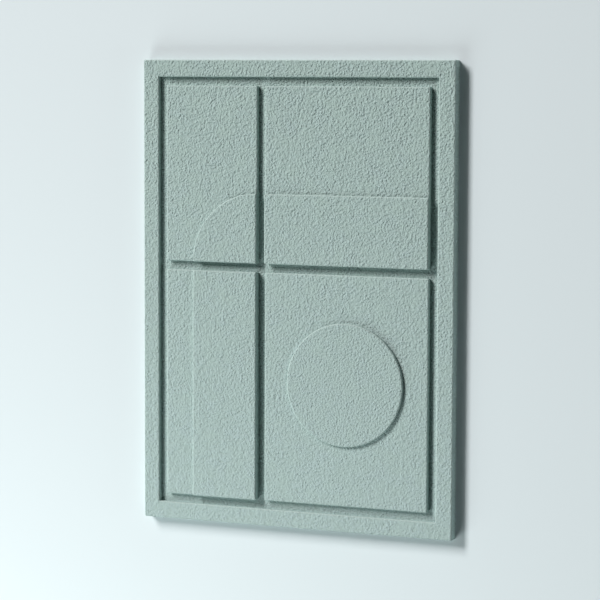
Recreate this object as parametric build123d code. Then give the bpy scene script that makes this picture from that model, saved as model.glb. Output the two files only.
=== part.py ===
"""Wall relief: one cast panel with a raised rim, four fields parted by channels, a bent band and a disc.

Millimetres. The panel lies on its back: the origin is the centre of the back face, +X points to the
relief's right, +Y to its top edge and +Z out of its face.
"""

import os

from build123d import *

# Outline
panel_width = 500.0
panel_height = 700.0
rim_width = 25.5

# Channels: between the rim and the fields, and crossing between the fields
channel_width = 13.2
cross_x = -55.2  # middle of the upright channel, from the panel's middle
cross_y = 40.0  # middle of the level channel, from the panel's middle

# Heights above the back face
floor_height = 10.0  # floor of the channels
rim_height = 18.0
field_height = 18.0

# The band rises on the lower left field, bends round the crossing and runs off to the right
band_width = 104.5
band_step = 4.0  # above the fields

# The disc lies in the middle of the lower right field's width
disc_diameter = 184.0
disc_lift = 9.5  # of its centre, above the middle of that field's height
disc_step = 5.0  # above the field

# Softened arrises of the cast
arris_radius = 2.0

# Edges of the fields, worked out from the rim, the channels and the crossing
fields_right = panel_width / 2 - rim_width - channel_width
fields_top = panel_height / 2 - rim_width - channel_width
left_column = (-fields_right, cross_x - channel_width / 2)
right_column = (cross_x + channel_width / 2, fields_right)
upper_row = (cross_y + channel_width / 2, fields_top)
lower_row = (-fields_top, cross_y - channel_width / 2)


def box(across, up, foot, top):
    """A square-cornered box between two x values, two y values and two heights."""
    size = (across[1] - across[0], up[1] - up[0], top - foot)
    middle = (sum(across) / 2, sum(up) / 2, foot)
    return Pos(*middle) * Box(*size, align=(Align.CENTER, Align.CENTER, Align.MIN))


def soften(piece):
    """Round the upright corners of a piece, then all the edges of its top face."""
    corners = piece.edges().filter_by(Axis.Z)
    if corners:
        piece = fillet(corners, arris_radius)
    return fillet(piece.faces().sort_by(Axis.Z)[-1].edges(), arris_radius)


def tray():
    """The back plate with its raised rim: a slab with the space inside the rim taken out."""
    half_width = panel_width / 2
    half_height = panel_height / 2
    slab = box((-half_width, half_width), (-half_height, half_height), 0, rim_height)
    slab = fillet(slab.edges().filter_by(Axis.Z), arris_radius)
    inside_width = half_width - rim_width
    inside_height = half_height - rim_width
    slab -= box((-inside_width, inside_width), (-inside_height, inside_height), floor_height, rim_height)
    return fillet(slab.faces().sort_by(Axis.Z)[-1].edges(), arris_radius)


def fields():
    """Four slabs that stand on the channel floor."""
    columns = (left_column, right_column)
    rows = (upper_row, lower_row)
    return [soften(box(column, row, floor_height, field_height)) for column in columns for row in rows]


def band():
    """The raised band, parted by the channels: an upright run, a quarter bend and a level run."""
    band_top = field_height + band_step
    upright_run = box((left_column[1] - band_width, left_column[1]), lower_row, floor_height, band_top)
    level_run = box(right_column, (upper_row[0], upper_row[0] + band_width), floor_height, band_top)
    bend_plan = Pos(left_column[1], upper_row[0], floor_height) * make_face(
        Polyline((-band_width, 0), (0, 0), (0, band_width))
        + RadiusArc((0, band_width), (-band_width, 0), -band_width)
    )
    bend = extrude(bend_plan, band_top - floor_height)
    return [soften(run) for run in (upright_run, bend, level_run)]


def disc():
    """The round boss on the lower right field."""
    centre = (sum(right_column) / 2, sum(lower_row) / 2 + disc_lift, floor_height)
    disc_top = field_height + disc_step
    boss = Cylinder(disc_diameter / 2, disc_top - floor_height, align=(Align.CENTER, Align.CENTER, Align.MIN))
    return Pos(*centre) * fillet(boss.faces().sort_by(Axis.Z)[-1].edges(), arris_radius)


relief_panel = tray() + fields() + band() + [disc()]

os.makedirs("parts", exist_ok=True)
export_step(relief_panel, "parts/relief_panel.step")
print("relief_panel", relief_panel.bounding_box().size, "volume", round(relief_panel.volume))
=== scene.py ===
# %% [markdown]
# # A cast wall relief
# This lesson dresses one plaster panel. It has a raised rim, four fields parted by channels, a band that
# bends round their crossing, and a disc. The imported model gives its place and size; here it gets its
# sanded coat. The panel lies on its back, as it would when nobody holds it: +X is the relief's right, +Y
# its top edge and +Z points out of its face. Everything is in metres.

from math import radians

import bmesh
import bpy
from mathutils import Matrix, Vector


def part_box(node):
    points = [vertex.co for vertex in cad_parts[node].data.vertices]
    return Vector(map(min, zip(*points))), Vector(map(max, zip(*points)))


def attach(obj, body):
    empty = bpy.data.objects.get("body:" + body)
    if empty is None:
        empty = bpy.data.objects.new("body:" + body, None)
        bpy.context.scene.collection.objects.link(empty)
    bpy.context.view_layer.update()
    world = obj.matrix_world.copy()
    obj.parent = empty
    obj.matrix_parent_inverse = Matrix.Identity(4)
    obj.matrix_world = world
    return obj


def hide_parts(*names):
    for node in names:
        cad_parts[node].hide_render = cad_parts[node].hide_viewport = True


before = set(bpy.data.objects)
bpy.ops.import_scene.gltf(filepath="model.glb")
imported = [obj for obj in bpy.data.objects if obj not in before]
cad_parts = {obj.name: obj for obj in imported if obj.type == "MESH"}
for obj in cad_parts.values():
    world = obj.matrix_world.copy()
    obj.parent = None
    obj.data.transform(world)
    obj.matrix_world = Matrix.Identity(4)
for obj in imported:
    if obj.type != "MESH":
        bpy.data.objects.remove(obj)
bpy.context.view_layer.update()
low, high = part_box("relief_panel")

# %% [markdown]
# ## Sizes
# The outline comes from the frame. The rest repeats the model's own sizes, in millimetres turned to
# metres. The edges of the fields follow from the rim, the channels and the crossing, so a change stays in
# one place.

# %% Sizes of the relief
MM = 0.001
panel_width = high.x - low.x
panel_height = high.y - low.y
rim_width = 25.5 * MM
channel_width = 13.2 * MM
cross_x = -55.2 * MM
cross_y = 40 * MM
floor_height = 10 * MM
rim_height = 18 * MM
field_height = 18 * MM
band_width = 104.5 * MM
band_step = 4 * MM
disc_radius = 92 * MM
disc_lift = 9.5 * MM
disc_step = 5 * MM
arris_radius = 2 * MM

half_x = panel_width / 2
half_y = panel_height / 2
inside_x = half_x - rim_width
inside_y = half_y - rim_width
left_column = (channel_width - inside_x, cross_x - channel_width / 2)
right_column = (cross_x + channel_width / 2, inside_x - channel_width)
lower_row = (channel_width - inside_y, cross_y - channel_width / 2)
upper_row = (cross_y + channel_width / 2, inside_y - channel_width)
band_left = left_column[1] - band_width
band_top = upper_row[0] + band_width
band_height = field_height + band_step
print("fields", left_column, right_column, lower_row, upper_row)

# %% [markdown]
# ## The slab
# Behind the relief lies one plain slab, as thick as the floor of the channels. It could be drawn as a
# flat outline and extruded, but a scaled cube has all six faces at once. Bisect then cuts it along the
# lines where the rim, the channels and the band begin and end: a cut runs through all that is selected,
# and needs no window.

# %% Add the slab and cut it along the lines
bpy.ops.object.select_all(action="DESELECT")
bpy.ops.mesh.primitive_cube_add(
    size=1, location=(0, 0, floor_height / 2), scale=(panel_width, panel_height, floor_height)
)
cast = bpy.context.object
cast.name = "relief_cast"
bpy.ops.object.transform_apply(location=True, rotation=False, scale=True)

AXES = {"x": Vector((1, 0, 0)), "y": Vector((0, 1, 0)), "z": Vector((0, 0, 1))}


def cut(axis, place):
    """Cut all faces that aren't hidden by one plane across an axis."""
    bpy.ops.mesh.select_all(action="SELECT")
    bpy.ops.mesh.bisect(plane_co=AXES[axis] * place, plane_no=AXES[axis])


bpy.ops.object.mode_set(mode="EDIT")
for place in (-inside_x, *left_column, band_left, *right_column, inside_x):
    cut("x", place)
for place in (-inside_y, *lower_row, *upper_row, band_top, inside_y):
    cut("y", place)
print("slab cut into", len(bmesh.from_edit_mesh(cast.data).faces), "faces")

# %% [markdown]
# ## Rim, fields and band
# The raised parts belong to the same cast as the slab. Boxes laid on top would leave hidden faces between
# them, so each part is a patch of the slab's top that is pulled up. The faces are picked by where their
# middle lies, and extruded as one region, so that walls appear only round the outside of the patch.

# %% Pull up the raised parts
NEAR = 0.01 * MM
LEVEL = 0.9


def pick_faces(wanted):
    """Select the faces for which wanted(face, middle) is true, and say how many there are."""
    bpy.ops.mesh.select_mode(type="FACE")
    bpy.ops.mesh.select_all(action="DESELECT")
    mesh = bmesh.from_edit_mesh(cast.data)
    picked = [face for face in mesh.faces if wanted(face, face.calc_center_median())]
    for face in picked:
        face.select_set(True)
    bmesh.update_edit_mesh(cast.data)
    return len(picked)


def inside(middle, patch):
    """Whether a point lies over a patch, given as its x range and its y range."""
    (left, right), (bottom, top) = patch
    return left < middle.x < right and bottom < middle.y < top


def raise_patches(patches, start, end, outside=False):
    """Extrude the level faces at height start that lie in the patches, or outside them, to height end."""
    count = pick_faces(
        lambda face, middle: face.normal.z > LEVEL
        and abs(middle.z - start) < NEAR
        and any(inside(middle, patch) for patch in patches) != outside
    )
    bpy.ops.mesh.extrude_region_move(TRANSFORM_OT_translate={"value": (0, 0, end - start)})
    return count


within_rim = ((-inside_x, inside_x), (-inside_y, inside_y))
fields = [(column, row) for column in (left_column, right_column) for row in (lower_row, upper_row)]
upright_run = ((band_left, left_column[1]), lower_row)
bend = ((band_left, left_column[1]), (upper_row[0], band_top))
level_run = (right_column, (upper_row[0], band_top))
print("rim faces", raise_patches([within_rim], floor_height, rim_height, outside=True))
print("field faces", raise_patches(fields, floor_height, field_height))
print("band faces", raise_patches([upright_run, bend, level_run], field_height, band_height))

# %% [markdown]
# ## Clear the flat faces
# The cuts still run on over faces that are flat on the real panel, and a bevel is cleanest without them.
# Limited Dissolve takes them out. The rim's top and the channels' floor are rings, though, which one face
# can't fill, and Blender would choose anew in each run which cuts to leave. So a few are marked as seams,
# where the dissolve stops, and the mesh comes out the same each time.

# %% Dissolve the cuts that are not needed
FLAT_ANGLE = radians(0.1)


def pick_edges(wanted):
    """Select the edges for which wanted(edge) is true, and say how many there are."""
    bpy.ops.mesh.select_mode(type="EDGE")
    bpy.ops.mesh.select_all(action="DESELECT")
    mesh = bmesh.from_edit_mesh(cast.data)
    picked = [edge for edge in mesh.edges if wanted(edge)]
    for edge in picked:
        edge.select_set(True)
    bmesh.update_edit_mesh(cast.data)
    return len(picked)


def lies_at(edge, axis, place):
    """Whether both ends of an edge lie at one place along an axis."""
    return all(abs(vertex.co.dot(AXES[axis]) - place) < NEAR for vertex in edge.verts)


def spans_ring(edge):
    """Whether an edge crosses the rim's top or a channel's floor on a line that parts their rings."""
    middle = (edge.verts[0].co + edge.verts[1].co) / 2
    on_floor = lies_at(edge, "z", floor_height)
    on_rim = lies_at(edge, "z", rim_height) and abs(middle.y) > inside_y
    along_y = lies_at(edge, "x", band_left)
    along_x = lies_at(edge, "y", band_top)
    in_right_channel = lies_at(edge, "y", lower_row[1]) and middle.x > right_column[1]
    return along_y and (on_floor or on_rim) or on_floor and (along_x or in_right_channel)


print("rings parted by", pick_edges(spans_ring), "edges")
bpy.ops.mesh.mark_seam()
bpy.ops.mesh.select_all(action="SELECT")
bpy.ops.mesh.dissolve_limited(angle_limit=FLAT_ANGLE, delimit={"SEAM"})
print("faces left", len(bmesh.from_edit_mesh(cast.data).faces))

# %% [markdown]
# ## The bend
# The band turns its corner as a quarter circle about the crossing, but so far the corner is square. A
# spin could sweep the curve, and would then have to be sewn in. Bevelling the one upright edge at the
# corner by the band's whole width gives the same curve within the mesh.

# %% Round the corner of the band
BEND_SEGMENTS = 72


def stands_at_corner(edge):
    """Whether both ends of an edge lie over the square corner of the band."""
    corner = Vector((band_left, band_top))
    return all((vertex.co.xy - corner).length < NEAR for vertex in edge.verts)


print("corner edges", pick_edges(stands_at_corner))
bpy.ops.mesh.bevel(offset=band_width, segments=BEND_SEGMENTS, affect="EDGES", clamp_overlap=False)
bpy.ops.mesh.select_all(action="SELECT")
bpy.ops.mesh.remove_doubles(threshold=NEAR)
bpy.ops.object.mode_set(mode="OBJECT")

# %% [markdown]
# ## The disc
# The disc lies in the middle of the lower right field's width, and is cast with it. It could be left as a
# second piece that sinks into the field, but then faces would lie hidden inside. A cylinder that starts
# inside the field is joined to it by a Boolean modifier, which leaves one closed skin with the circle cut
# into the field's face.

# %% Join the disc
DISC_SEGMENTS = 256
disc_foot = (floor_height + field_height) / 2
disc_height = field_height + disc_step
disc_x = sum(right_column) / 2
disc_y = sum(lower_row) / 2 + disc_lift
bpy.ops.object.select_all(action="DESELECT")
bpy.ops.mesh.primitive_cylinder_add(
    vertices=DISC_SEGMENTS,
    radius=disc_radius,
    depth=disc_height - disc_foot,
    location=(disc_x, disc_y, (disc_foot + disc_height) / 2),
)
disc = bpy.context.object
bpy.context.view_layer.objects.active = cast
join = cast.modifiers.new("disc", "BOOLEAN")
join.operation = "UNION"
join.solver = "EXACT"
join.object = disc
bpy.ops.object.modifier_apply(modifier=join.name)
bpy.data.objects.remove(disc)
print("faces with the disc", len(cast.data.polygons))

# %% [markdown]
# ## Arrises
# Plaster never leaves a mould with razor edges. A Bevel modifier would round every sharp edge, the feet
# of the walls too. So the edges that point outwards are picked in code, apart from those round the back,
# and the bevel operator rounds only these. The mesh itself tells which edges are convex.

# %% Round the arrises
ARRIS_SEGMENTS = 4
SHARP_ANGLE = radians(30)


def is_arris(edge):
    """Whether an edge is a sharp outer edge that doesn't lie on the back."""
    on_back = all(vertex.co.z < NEAR for vertex in edge.verts)
    return edge.is_convex and edge.calc_face_angle() > SHARP_ANGLE and not on_back


bpy.ops.object.select_all(action="DESELECT")
cast.select_set(True)
bpy.ops.object.mode_set(mode="EDIT")
print("arrises", pick_edges(is_arris))
bpy.ops.mesh.bevel(offset=arris_radius, segments=ARRIS_SEGMENTS, affect="EDGES", clamp_overlap=False)

# %% [markdown]
# ## A net for the coat
# A coat that shows from every side needs vertices to move. Subdividing would make long thin faces, and a
# remesh would blur the arrises, so bisect is used again. The back is hidden, so that it stays one flat
# face. Each stretch between two edges is divided evenly, so that no cut runs close beside an edge.

# %% Cut the net
NET_STEP = 2.45 * MM


def even_cuts(edges):
    """Places that divide each stretch between neighbouring edges into even steps."""
    for start, end in zip(edges, edges[1:]):
        steps = round((end - start) / NET_STEP)
        for step in range(1, steps):
            yield start + (end - start) * step / steps


x_edges = (-half_x, -inside_x, left_column[0], band_left, left_column[1], *right_column, inside_x, half_x)
y_edges = (-half_y, -inside_y, *lower_row, upper_row[0], band_top, upper_row[1], inside_y, half_y)
z_edges = (0, floor_height, rim_height - arris_radius)
pick_faces(lambda face, middle: face.normal.z < -LEVEL)
bpy.ops.mesh.hide(unselected=False)
for axis, edges in (("x", x_edges), ("y", y_edges), ("z", z_edges)):
    for place in even_cuts(edges):
        cut(axis, place)
bpy.ops.mesh.reveal(select=False)
bpy.ops.mesh.select_all(action="SELECT")
bpy.ops.mesh.remove_doubles(threshold=NEAR)
bpy.ops.object.mode_set(mode="OBJECT")
cast.data.calc_loop_triangles()
print("net", len(cast.data.polygons), "faces,", len(cast.data.loop_triangles), "triangles")

# %% [markdown]
# ## Lumps of the coat
# The coat is plaster with sand in it, rolled on and left as it fell. Sculpting could draw its lumps by
# hand, but two Displace modifiers do it evenly and the same way each time. They push the net in and out
# along its normals: one for slow waves, one for the lumps that the roller leaves. A vertex group keeps
# the back flat. It is called by its name, because a modifier that is applied makes the group anew.

# %% Displace the net
LUMP_SIZE = 5 * MM
LUMP_DEPTH = 0.5 * MM
WAVE_SIZE = 45 * MM
WAVE_DEPTH = 0.3 * MM
SMOOTH_ANGLE = radians(50)
COATED = "coated"
group = cast.vertex_groups.new(name=COATED)
group.add([vertex.index for vertex in cast.data.vertices if vertex.co.z > NEAR], 1.0, "REPLACE")


def displace(name, size, depth, detail):
    """Move the coated vertices along their normals by a cloud noise, and apply it."""
    noise = bpy.data.textures.new(name, "CLOUDS")
    noise.noise_basis = "IMPROVED_PERLIN"
    noise.noise_scale = size
    noise.noise_depth = detail
    push = cast.modifiers.new(name, "DISPLACE")
    push.texture = noise
    push.texture_coords = "LOCAL"
    push.vertex_group = COATED
    push.strength = depth
    push.mid_level = 0.5
    bpy.ops.object.modifier_apply(modifier=push.name)


displace("slow waves", WAVE_SIZE, WAVE_DEPTH, detail=1)
displace("roller lumps", LUMP_SIZE, LUMP_DEPTH, detail=0)
bpy.ops.object.shade_smooth_by_angle(angle=SMOOTH_ANGLE)
print("coated box", [tuple(round(value / MM, 2) for value in corner) for corner in cast.bound_box][::6])

# %% [markdown]
# ## Sand
# Single grains of sand are finer than the net, so nodes work them out for the shader. They stand in a
# group, which keeps the material short. Noise gives the coat its humps, and the cells of a Voronoi
# texture set a round grain on them. All of it hangs on the object's own coordinates, so that it stays put
# when the panel is moved.

# %% Start the sand group
HUMPS_PER_M = 300
GRAINS_PER_M = 330
TONE_PER_M = 40


def fill_input(tree, socket, value):
    """Link an input to the output of another node, or give it a plain value."""
    if isinstance(value, bpy.types.NodeSocket):
        tree.links.new(value, socket)
    else:
        socket.default_value = value


def add_node(tree, kind, **inputs):
    """Add a node and fill its inputs, whose names have an underscore for each blank."""
    node = tree.nodes.new(kind)
    for name, value in inputs.items():
        fill_input(tree, node.inputs[name.replace("_", " ")], value)
    return node


def add_noise(tree, spot, per_metre, detail, roughness):
    """Add a Noise texture with so many waves to the metre, and give its output."""
    node = add_node(tree, "ShaderNodeTexNoise", Vector=spot, Scale=per_metre, Detail=detail)
    node.inputs["Roughness"].default_value = roughness
    return node.outputs["Fac"]


sand = bpy.data.node_groups.new("sand_coat", "ShaderNodeTree")
sand.interface.new_socket("Vector", in_out="INPUT", socket_type="NodeSocketVector")
for name in ("Height", "Hollow", "Tone"):
    sand.interface.new_socket(name, in_out="OUTPUT", socket_type="NodeSocketFloat")
spot = sand.nodes.new("NodeGroupInput").outputs["Vector"]
humps = add_noise(sand, spot, HUMPS_PER_M, detail=1.0, roughness=0.5)
grains = add_node(sand, "ShaderNodeTexVoronoi", Vector=spot, Scale=GRAINS_PER_M).outputs["Distance"]
tone = add_noise(sand, spot, TONE_PER_M, detail=4.0, roughness=0.6)
print("sand textures", [node.name for node in sand.nodes])

# %% [markdown]
# ### Height of the sand
# The grains are laid over the humps, and their mean is taken off, so that the coat can be made thicker or
# thinner without a slope of its own. It is thicker in some patches than in others, and thins out towards
# the foot of the panel. A painted map could say where, but a noise and the object's Y do it without a
# file.

# %% Work out the height
GRAIN_WEIGHT = -0.35
MEAN_RISE = 0.34
THIN_PATCH = 0.65
FOOT_DEPTH = 0.54
HEAD_DEPTH = 1.1
TONE_LOW = 0.3
TONE_HIGH = 0.7


def calculate(tree, operation, *terms):
    """Add a Math node over some terms, and give its output."""
    node = tree.nodes.new("ShaderNodeMath")
    node.operation = operation
    for socket, term in zip(node.inputs, terms):
        fill_input(tree, socket, term)
    return node.outputs["Value"]


def spread(tree, value, start, end, low_result, high_result):
    """Add a Map Range node that carries a value from one range to another, and give its output."""
    node = add_node(tree, "ShaderNodeMapRange", Value=value, From_Min=start, From_Max=end)
    node.inputs["To Min"].default_value = low_result
    node.inputs["To Max"].default_value = high_result
    return node.outputs["Result"]


rise = calculate(sand, "MULTIPLY_ADD", grains, GRAIN_WEIGHT, humps)
even_rise = calculate(sand, "SUBTRACT", rise, MEAN_RISE)
patches = spread(sand, tone, TONE_LOW, TONE_HIGH, THIN_PATCH, 1)
upward_place = add_node(sand, "ShaderNodeSeparateXYZ", Vector=spot).outputs["Y"]
foot_to_head = spread(sand, upward_place, -half_y, half_y, FOOT_DEPTH, HEAD_DEPTH)
thickness = calculate(sand, "MULTIPLY", patches, foot_to_head)
height = calculate(sand, "MULTIPLY", even_rise, thickness)
print("sand nodes", len(sand.nodes))

# %% [markdown]
# ### What the group gives
# Besides the height, the material needs to know how deep a spot lies between the humps, where dust and
# painted shade darken it, and the slow tone of the pigment. The tone also leans to grey towards the foot,
# which is a painted tint of light. Both come from textures that the height already uses, so the colour
# follows the same grain.

# %% Give the group its outputs
HOLLOW_RIM = 0.52
HOLLOW_BOTTOM = 0.36
# painted tint of light: the tone leans to grey towards the foot
PAINTED_TINT_LEAN = -0.33  # change of the tone for each metre towards the top edge
# how deep a spot lies between the humps, for the dust and painted shade there
hollow = spread(sand, humps, HOLLOW_RIM, HOLLOW_BOTTOM, 0, 1)
tone_and_painted_tint = calculate(sand, "MULTIPLY_ADD", upward_place, PAINTED_TINT_LEAN, tone)
result = add_node(sand, "NodeGroupOutput", Height=height, Hollow=hollow, Tone=tone_and_painted_tint)
print("sand group gives", [socket.name for socket in result.inputs if socket.name])

# %% [markdown]
# ## Plaster
# Sage green pigment is mixed into the plaster, so the colour goes right through. It leans a little to
# green or to grey from place to place, and further to grey towards the foot, a painted tint of light. The
# hollows between the humps are darker, partly from dust and partly as painted shade. One flat colour
# would look like plastic, so a ramp and a Mix node lay these changes over each other.

# %% Colour the plaster
SAGE_GREEN = (0.382, 0.491, 0.459, 1)
SAGE_GREY = (0.389, 0.493, 0.485, 1)
# colour of the hollows: dust and painted shade
DUST_AND_SHADE_SAGE = (0.356, 0.455, 0.433, 1)


def add_ramp(tree, value, stops):
    """Add a Color Ramp with (position, colour) stops, and give its output."""
    node = add_node(tree, "ShaderNodeValToRGB", Fac=value)
    elements = node.color_ramp.elements
    for index, (position, colour) in enumerate(stops):
        if index >= len(elements):
            elements.new(position)
        elements[index].position = position
        elements[index].color = colour
    return node.outputs["Color"]


def mix_colours(tree, share, first, second):
    """Add a Mix node from the first colour to the second by a share, and give its output."""
    node = tree.nodes.new("ShaderNodeMix")
    node.data_type = "RGBA"
    for name, value in (("Factor", share), ("A", first), ("B", second)):
        fill_input(tree, node.inputs[name], value)
    return node.outputs["Result"]


plaster = bpy.data.materials.new("plaster")
plaster.use_nodes = True
tree = plaster.node_tree
shader = tree.nodes["Principled BSDF"]
where = tree.nodes.new("ShaderNodeTexCoord")
coat = tree.nodes.new("ShaderNodeGroup")
coat.node_tree = sand
tree.links.new(where.outputs["Object"], coat.inputs["Vector"])
# the tone's ramp, with the painted tint of light that greys the foot
pigment_and_painted_tint = add_ramp(tree, coat.outputs["Tone"], ((TONE_LOW, SAGE_GREEN), (TONE_HIGH, SAGE_GREY)))
# darken the hollows with dust and painted shade
dusted_and_shaded = mix_colours(tree, coat.outputs["Hollow"], pigment_and_painted_tint, DUST_AND_SHADE_SAGE)
print("plaster starts with", len(tree.nodes), "nodes")

# %% [markdown]
# ### Rubbed arrises with a painted highlight
# Hands and cloths rub the sand off the arrises first, so these are smoother. They are also made lighter
# in colour, which is a painted highlight along every arris. They could be painted by hand, but they give
# themselves away by their slope, which lies between that of the level faces and that of the walls. A ramp
# over the Z of the surface normal picks out just that range.

# %% Rub the arrises and paint their highlight
# painted highlight: the lighter colour of the arrises
PAINTED_HIGHLIGHT_SAGE = (0.465, 0.570, 0.545, 1)
RUBBED_AND_HIGHLIGHT_BY_SLOPE = ((0.15, 0), (0.45, 1), (0.8, 1), (0.95, 0))
slope = add_node(tree, "ShaderNodeSeparateXYZ", Vector=where.outputs["Normal"]).outputs["Z"]
# mask of the arrises, for their smoother grain and the painted highlight
rubbed_and_painted_highlight = add_ramp(tree, slope, [(stop, (amount, amount, amount, 1)) for stop, amount in RUBBED_AND_HIGHLIGHT_BY_SLOPE])
colour = mix_colours(tree, rubbed_and_painted_highlight, dusted_and_shaded, PAINTED_HIGHLIGHT_SAGE)
tree.links.new(colour, shader.inputs["Base Color"])
print("rubbed between slopes", RUBBED_AND_HIGHLIGHT_BY_SLOPE[0][0], "and", RUBBED_AND_HIGHLIGHT_BY_SLOPE[-1][0])

# %% [markdown]
# ### Matt finish and grain
# Dry plaster is matt all over, a little more so where it is greyer. The sand's height goes through a Bump
# node: it tilts the light on each grain, which is too small to need faces of its own. On the rubbed
# arrises most of that grain is gone.

# %% Make it matt and grainy
SAND_DEPTH = 3.0 * MM
RUBBED_GRAIN = 0.2
SHINE = 0.2
GREEN_ROUGHNESS = 0.84
GREY_ROUGHNESS = 0.95
shader.inputs["Specular IOR Level"].default_value = SHINE
roughness = spread(tree, coat.outputs["Tone"], TONE_LOW, TONE_HIGH, GREEN_ROUGHNESS, GREY_ROUGHNESS)
tree.links.new(roughness, shader.inputs["Roughness"])
grain_left = spread(tree, rubbed_and_painted_highlight, 0, 1, 1, RUBBED_GRAIN)
grain = calculate(tree, "MULTIPLY", coat.outputs["Height"], grain_left)
bump = add_node(tree, "ShaderNodeBump", Strength=1.0, Distance=SAND_DEPTH, Height=grain)
tree.links.new(bump.outputs["Normal"], shader.inputs["Normal"])
print("plaster has", len(tree.nodes), "nodes")

# %% [markdown]
# ## Take the model's place
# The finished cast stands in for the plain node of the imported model.

# %% Hand the cast to the frame
cast.data.materials.clear()
cast.data.materials.append(plaster)
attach(cast, "root")
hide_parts("relief_panel")
print("cast at", tuple(cast.location), "with", [material.name for material in cast.data.materials])

# %% [markdown]
# ## Floor
# The panel lies on a plain pale studio floor. A backdrop that curves up would show from the sides, so one
# large flat sheet is enough.

# %% Lay the floor
FLOOR_SIZE = 24
FLOOR_COLOUR = (0.69, 0.758, 0.781, 1)
FLOOR_ROUGHNESS = 0.8
bpy.ops.object.select_all(action="DESELECT")
bpy.ops.mesh.primitive_plane_add(size=FLOOR_SIZE, location=(0, 0, 0))
floor = bpy.context.object
floor.name = "studio_floor"
paint = bpy.data.materials.new("floor_paint")
paint.use_nodes = True
floor_shader = paint.node_tree.nodes["Principled BSDF"]
floor_shader.inputs["Base Color"].default_value = FLOOR_COLOUR
floor_shader.inputs["Roughness"].default_value = FLOOR_ROUGHNESS
floor.data.materials.append(paint)
print("floor", FLOOR_SIZE, "m wide")

# %% [markdown]
# ## Lamps
# Low relief needs light from one side, or its steps vanish. A long soft lamp far to the upper left draws
# the steps and the grain, a nearer one to the lower left opens their shadows, and a weak low one lights
# the side that faces the camera. Soft area lamps do this better than a sun, whose shadows would be hard.
# The first is a touch warm and the others a touch green, so that the shadows don't turn purple.

# %% Hang the lamps
KEY_PLACE = Vector((-10.3, 10.8, 10.0))
KEY_SIZE = (5.4, 11.0)
KEY_POWER = 6630
KEY_COLOUR = (1.0, 0.98, 0.975)
FILL_PLACE = Vector((-1.0, -1.6, 1.0))
FILL_SIZE = (1.4, 1.4)
FILL_POWER = 30
FILL_COLOUR = (0.90, 1.0, 0.985)
SIDE_PLACE = Vector((2.4, -0.6, 0.6))
SIDE_SIZE = (1.0, 0.5)
SIDE_POWER = 7.8
SIDE_COLOUR = (0.88, 1.0, 0.985)


def add_lamp(name, place, size, power, colour):
    """Add a rectangular soft lamp that shines straight down."""
    bpy.ops.object.light_add(type="AREA", location=place)
    lamp = bpy.context.object
    lamp.name = name
    lamp.data.shape = "RECTANGLE"
    lamp.data.size, lamp.data.size_y = size
    lamp.data.energy = power
    lamp.data.color = colour
    print("lamp", name, power, "W")
    return lamp


def aim_at_panel(lamp):
    """Turn a lamp towards the panel."""
    lamp.rotation_euler = (-lamp.location).to_track_quat("-Z", "Y").to_euler()


add_lamp("key", KEY_PLACE, KEY_SIZE, KEY_POWER, KEY_COLOUR)
aim_at_panel(add_lamp("fill", FILL_PLACE, FILL_SIZE, FILL_POWER, FILL_COLOUR))
aim_at_panel(add_lamp("side", SIDE_PLACE, SIDE_SIZE, SIDE_POWER, SIDE_COLOUR))

# %% [markdown]
# ## World
# The world would wash out the shadows if it shone as bright as it looks. The Light Path node tells the
# rays apart: those from the camera, and those that mirror or pass through something, see a pale studio,
# and all others get only a trace of light from it.

# %% Set the world
WORLD_COLOUR = (0.93, 0.98, 1, 1)
WORLD_LIGHT = 0.01
WORLD_SEEN = 0.8
world = bpy.data.worlds.new("studio")
bpy.context.scene.world = world
world.use_nodes = True
studio = world.node_tree
ray = studio.nodes.new("ShaderNodeLightPath").outputs
mirrored = calculate(studio, "ADD", ray["Is Glossy Ray"], ray["Is Transmission Ray"])
seen = calculate(studio, "ADD", ray["Is Camera Ray"], mirrored)
backdrop = studio.nodes["Background"]
backdrop.inputs["Color"].default_value = WORLD_COLOUR
studio.links.new(spread(studio, seen, 0, 1, WORLD_LIGHT, WORLD_SEEN), backdrop.inputs["Strength"])
print("world seen at", WORLD_SEEN, "and shining at", WORLD_LIGHT)

# %% [markdown]
# ## Camera
# The panel is seen from above, from well to its right and a little from its top edge. A long lens from
# far off keeps the edges nearly parallel. A Track To constraint could aim the camera, but here its three
# axes are worked out from the line of sight, so that a small roll can level the picture.

# %% Place the camera
CAMERA_PLACE = Vector((1389.2, 326.5, 3300.5)) * MM
CAMERA_AIM = Vector((8.6, -5.4, 18.0)) * MM
CAMERA_ROLL = radians(0.22)
CAMERA_LENS = 144.3
CAMERA_REACH = 100
bpy.ops.object.camera_add()
camera = bpy.context.object
forward = (CAMERA_AIM - CAMERA_PLACE).normalized()
right = forward.cross(AXES["y"]).normalized()
upward = right.cross(forward)
turn = Matrix((right, upward, -forward)).transposed() @ Matrix.Rotation(CAMERA_ROLL, 3, "Z")
camera.matrix_world = Matrix.Translation(CAMERA_PLACE) @ turn.to_4x4()
camera.data.lens = CAMERA_LENS
camera.data.clip_end = CAMERA_REACH
scene = bpy.context.scene
scene.camera = camera
scene.view_settings.view_transform = "Standard"
print("camera", round((CAMERA_PLACE - CAMERA_AIM).length, 3), "m from the panel")

# %% [markdown]
# ## Finish
# The coat moves the surface by fractions of a millimetre, so the finished cast stays close to the model's
# box. Last, the view layer is brought up to date.

# %% Finish
bpy.context.view_layer.update()
